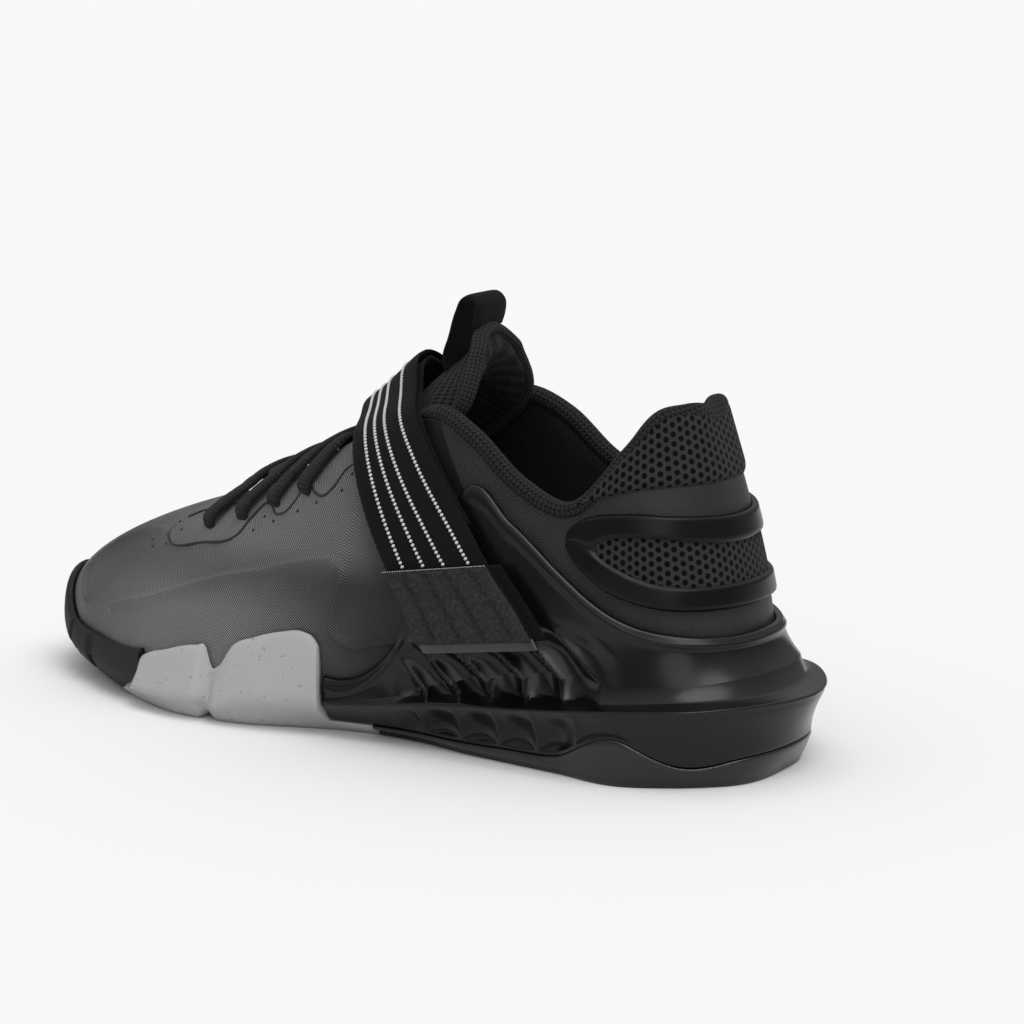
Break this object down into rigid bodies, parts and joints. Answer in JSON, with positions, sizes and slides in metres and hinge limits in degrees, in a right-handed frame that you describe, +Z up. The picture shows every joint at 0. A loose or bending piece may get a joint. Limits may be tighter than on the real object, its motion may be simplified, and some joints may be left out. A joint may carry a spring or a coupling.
{
  "type": "weightlifting shoe",
  "caption": "Low-cut lifting shoe with a raised flared heel, moulded heel cage, clipped forefoot plate and padded collar, closed by laces under a wide instep strap.",
  "frame": {"origin": "centre of the heel's flat rest, on the floor", "axes": "+X to the toe, +Y to the outer (little toe) side, +Z up"},
  "size_m": [0.2994, 0.1161, 0.1414],
  "materials": {
    "upper": "coated woven textile, semi-gloss",
    "midsole": "moulded, satin",
    "outsole": "gloss",
    "clip": "matt, finely grained",
    "bumper": "matt, textured",
    "insole": "brushed",
    "moulding": "satin",
    "tongue": "padded mesh",
    "webbing": "woven, matt",
    "ring": "gloss"
  },
  "bodies": {
    "root": {"upper": "upper", "midsole": "midsole", "outsole_heel": "outsole", "forefoot_clip": "clip", "toe_bumper": "bumper", "insole": "insole", "heel_frame": "moulding", "tongue": "tongue", "pull_loop": "webbing", "strap": "webbing", "strap_patch": "moulding", "strap_pile": "webbing", "strap_ring": "ring", "ring_keeper": "webbing", "laces": "webbing"}
  },
  "joints": []
}
